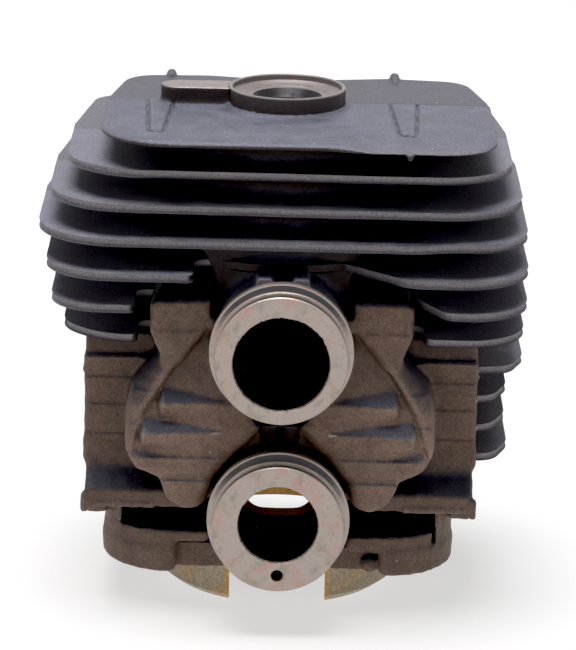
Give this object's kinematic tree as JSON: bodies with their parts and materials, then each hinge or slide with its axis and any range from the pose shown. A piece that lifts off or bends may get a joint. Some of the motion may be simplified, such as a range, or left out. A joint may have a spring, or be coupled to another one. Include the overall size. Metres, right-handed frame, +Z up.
{
  "type": "engine cylinder",
  "caption": "Air-cooled two-stroke engine cylinder with integral finned head, round inlet stubs at the front, transfer ducts at the sides and a bolted base.",
  "frame": {"origin": "on the bore axis at the crankcase gasket face", "axes": "+Z up the bore towards the spark plug, -Y out of the inlet stubs, +Y out of the exhaust port, +X to the right when looking at the inlet stubs"},
  "size_m": [0.122, 0.102, 0.1261],
  "materials": {
    "black_casting": "die-cast aluminium with a matt black-brown heat-resistant coat",
    "machined_face": "bare turned and milled casting alloy with a thin conversion tint",
    "plated_bore": "honed hard-plated bore with a tan machined skirt"
  },
  "bodies": {
    "root": {"bore_sleeve": "plated_bore", "combustion_dome": "black_casting", "spark_plug_boss": "machined_face", "decompression_pad": "machined_face", "top_fin": "black_casting", "fin_2": "black_casting", "fin_3": "black_casting", "fin_4": "black_casting", "fin_5": "black_casting", "fin_6": "black_casting", "fin_7": "black_casting", "air_inlet_stub": "machined_face", "mixture_inlet_stub": "machined_face", "air_channel_housing": "black_casting", "left_gusset": "black_casting", "right_gusset": "black_casting", "left_transfer_duct": "black_casting", "right_transfer_duct": "black_casting", "left_ledge": "black_casting", "right_ledge": "black_casting", "lower_web": "black_casting", "left_front_post": "black_casting", "right_front_post": "black_casting", "left_rear_post": "black_casting", "right_rear_post": "black_casting", "base_flange": "black_casting", "exhaust_duct": "black_casting", "right_side_fin_1": "black_casting", "right_side_fin_2": "black_casting", "right_side_fin_3": "black_casting", "right_side_fin_4": "black_casting"}
  },
  "joints": []
}
